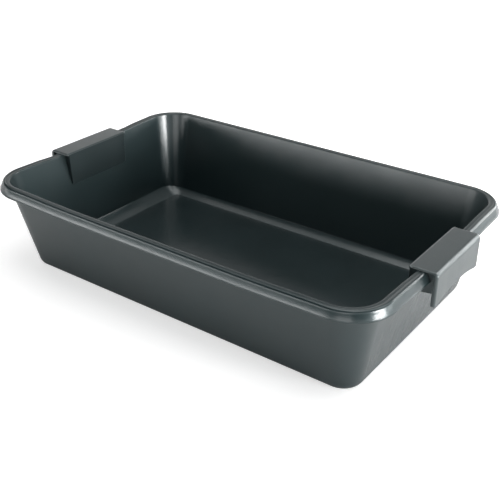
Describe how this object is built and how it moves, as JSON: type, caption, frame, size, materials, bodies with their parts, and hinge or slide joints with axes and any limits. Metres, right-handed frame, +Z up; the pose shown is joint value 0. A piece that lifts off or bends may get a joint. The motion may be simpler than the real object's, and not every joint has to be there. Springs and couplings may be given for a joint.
{
  "type": "oil drain pan",
  "caption": "Deep rectangular drain tub in black moulded plastic, with sloping walls, a rolled rim and a saddle handle on each short end.",
  "frame": {"origin": "under the middle of the floor, on the surface that the tub stands on", "axes": "+X along the tub's length towards one handle, +Y across it, +Z up out of the open top"},
  "size_m": [0.632, 0.3948, 0.1342],
  "materials": {
    "tub_plastic": "satin black moulded polyethylene, a little green in the shade, with a soft sheen",
    "handle_plastic": "satin black moulded polyethylene, slightly duller than the tub"
  },
  "bodies": {
    "root": {"tub_shell": "tub_plastic", "handle_left": "handle_plastic", "handle_right": "handle_plastic"}
  },
  "joints": []
}
